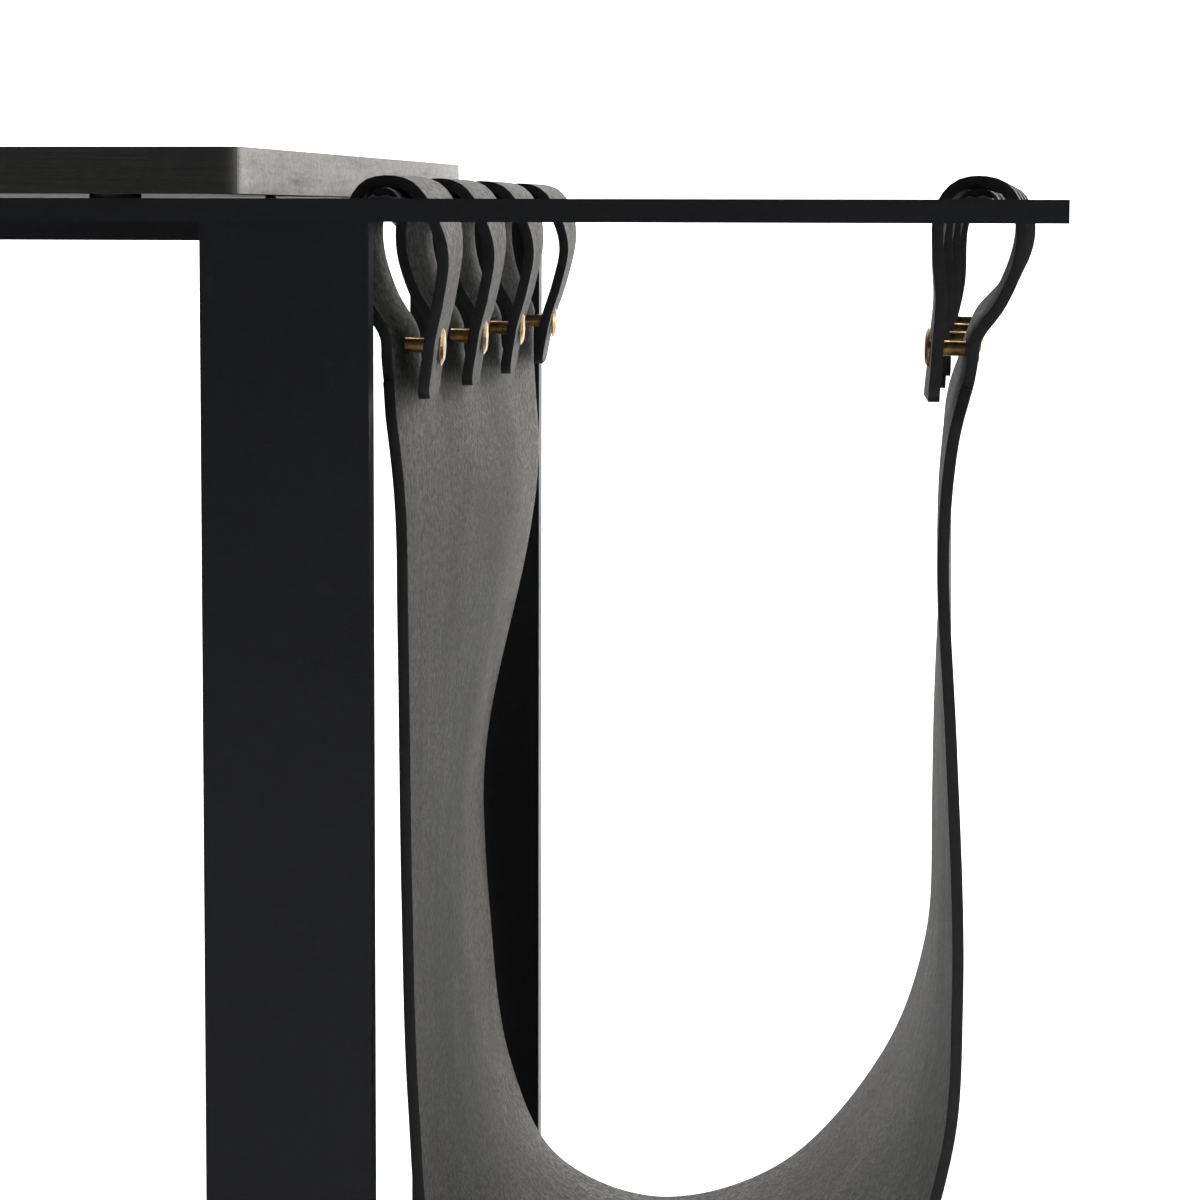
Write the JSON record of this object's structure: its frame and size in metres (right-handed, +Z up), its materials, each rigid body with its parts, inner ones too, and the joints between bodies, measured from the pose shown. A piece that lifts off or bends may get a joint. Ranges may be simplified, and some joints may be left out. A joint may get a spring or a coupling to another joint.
{
  "type": "firewood log rack",
  "caption": "Low flat-bar steel bench with a board seat and a leather log sling hung on two rods at one end.",
  "frame": {"origin": "on the floor, under the middle of the bench", "axes": "+X along the bench towards the log sling, +Y to the rear, +Z up"},
  "size_m": [0.9, 0.41, 0.4975],
  "materials": {
    "frame_steel": "satin black powder coat",
    "screw_steel": "black oxide",
    "board_wood": "black stain with open grain",
    "sling_leather": "thick black harness leather with a dry dusty face",
    "brass": "aged polish",
    "rubber": "matte"
  },
  "bodies": {
    "frame": {"front_rail": "frame_steel", "rear_rail": "frame_steel", "left_end_bar": "frame_steel", "right_front_leg": "frame_steel", "right_rear_leg": "frame_steel", "left_front_leg": "frame_steel", "left_rear_leg": "frame_steel", "right_floor_bar": "frame_steel", "left_floor_bar": "frame_steel", "right_cross_plate": "frame_steel", "left_cross_plate": "frame_steel", "seat_support_bar": "frame_steel", "inner_sling_rod": "frame_steel", "outer_sling_rod": "frame_steel", "seat_screw_1": "screw_steel", "seat_screw_2": "screw_steel", "seat_screw_3": "screw_steel", "seat_screw_4": "screw_steel", "foot_pad_right_front": "rubber", "foot_pad_right_rear": "rubber", "foot_pad_left_front": "rubber", "foot_pad_left_rear": "rubber", "board_pad_1": "rubber", "board_pad_2": "rubber", "board_pad_3": "rubber", "board_pad_4": "rubber", "board_pad_5": "rubber", "board_pad_6": "rubber", "seat_board": "board_wood"},
    "sling": {"leather_sling": "sling_leather", "sling_post_inner_1": "brass", "sling_post_inner_2": "brass", "sling_post_inner_3": "brass", "sling_post_inner_4": "brass", "sling_post_outer_1": "brass", "sling_post_outer_2": "brass", "sling_post_outer_3": "brass", "sling_post_outer_4": "brass", "sling_screw_inner_1": "brass", "sling_screw_inner_2": "brass", "sling_screw_inner_3": "brass", "sling_screw_inner_4": "brass", "sling_screw_outer_1": "brass", "sling_screw_outer_2": "brass", "sling_screw_outer_3": "brass", "sling_screw_outer_4": "brass"}
  },
  "joints": [
    {"name": "sling_slide", "type": "slide", "parent": "frame", "child": "sling", "axis": [0, 1, 0], "range_m": [-0.0075, 0.0075]}
  ]
}
